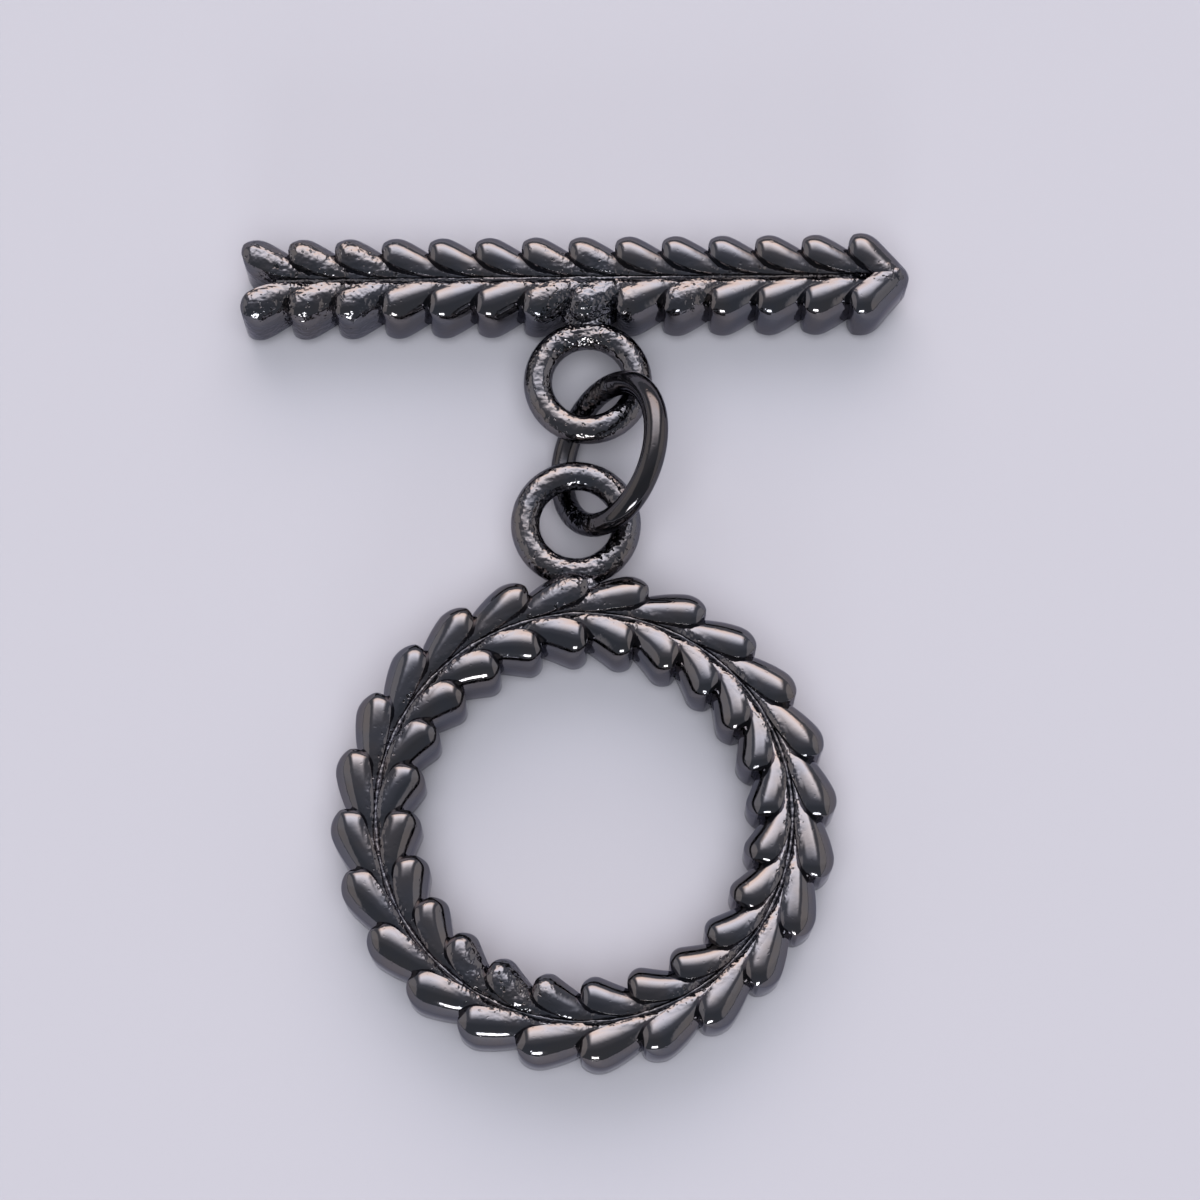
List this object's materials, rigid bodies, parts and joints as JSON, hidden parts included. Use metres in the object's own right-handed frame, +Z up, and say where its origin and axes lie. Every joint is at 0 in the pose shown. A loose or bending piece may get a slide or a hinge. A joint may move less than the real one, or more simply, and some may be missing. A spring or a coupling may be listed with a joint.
{
  "type": "toggle clasp",
  "caption": "Gunmetal toggle clasp: a wreath ring and a bar of paired cast petals, each with a round wire eye, joined by a plain jump ring.",
  "frame": {"origin": "middle of the clasp's box on the surface that it lies on", "axes": "+Z up out of the surface, +Y from the toggle ring to the bar, +X along the bar towards its arrow tip"},
  "size_m": [0.0198, 0.0248, 0.0041],
  "materials": {
    "gunmetal_bar": "polished black-nickel gunmetal plating on cast brass",
    "gunmetal_wire": "polished black-nickel gunmetal plating on brass wire",
    "gunmetal_ring": "polished black-nickel gunmetal plating on cast brass"
  },
  "bodies": {
    "root": {"toggle_bar": "gunmetal_bar", "jump_ring": "gunmetal_wire", "toggle_ring": "gunmetal_ring"}
  },
  "joints": []
}
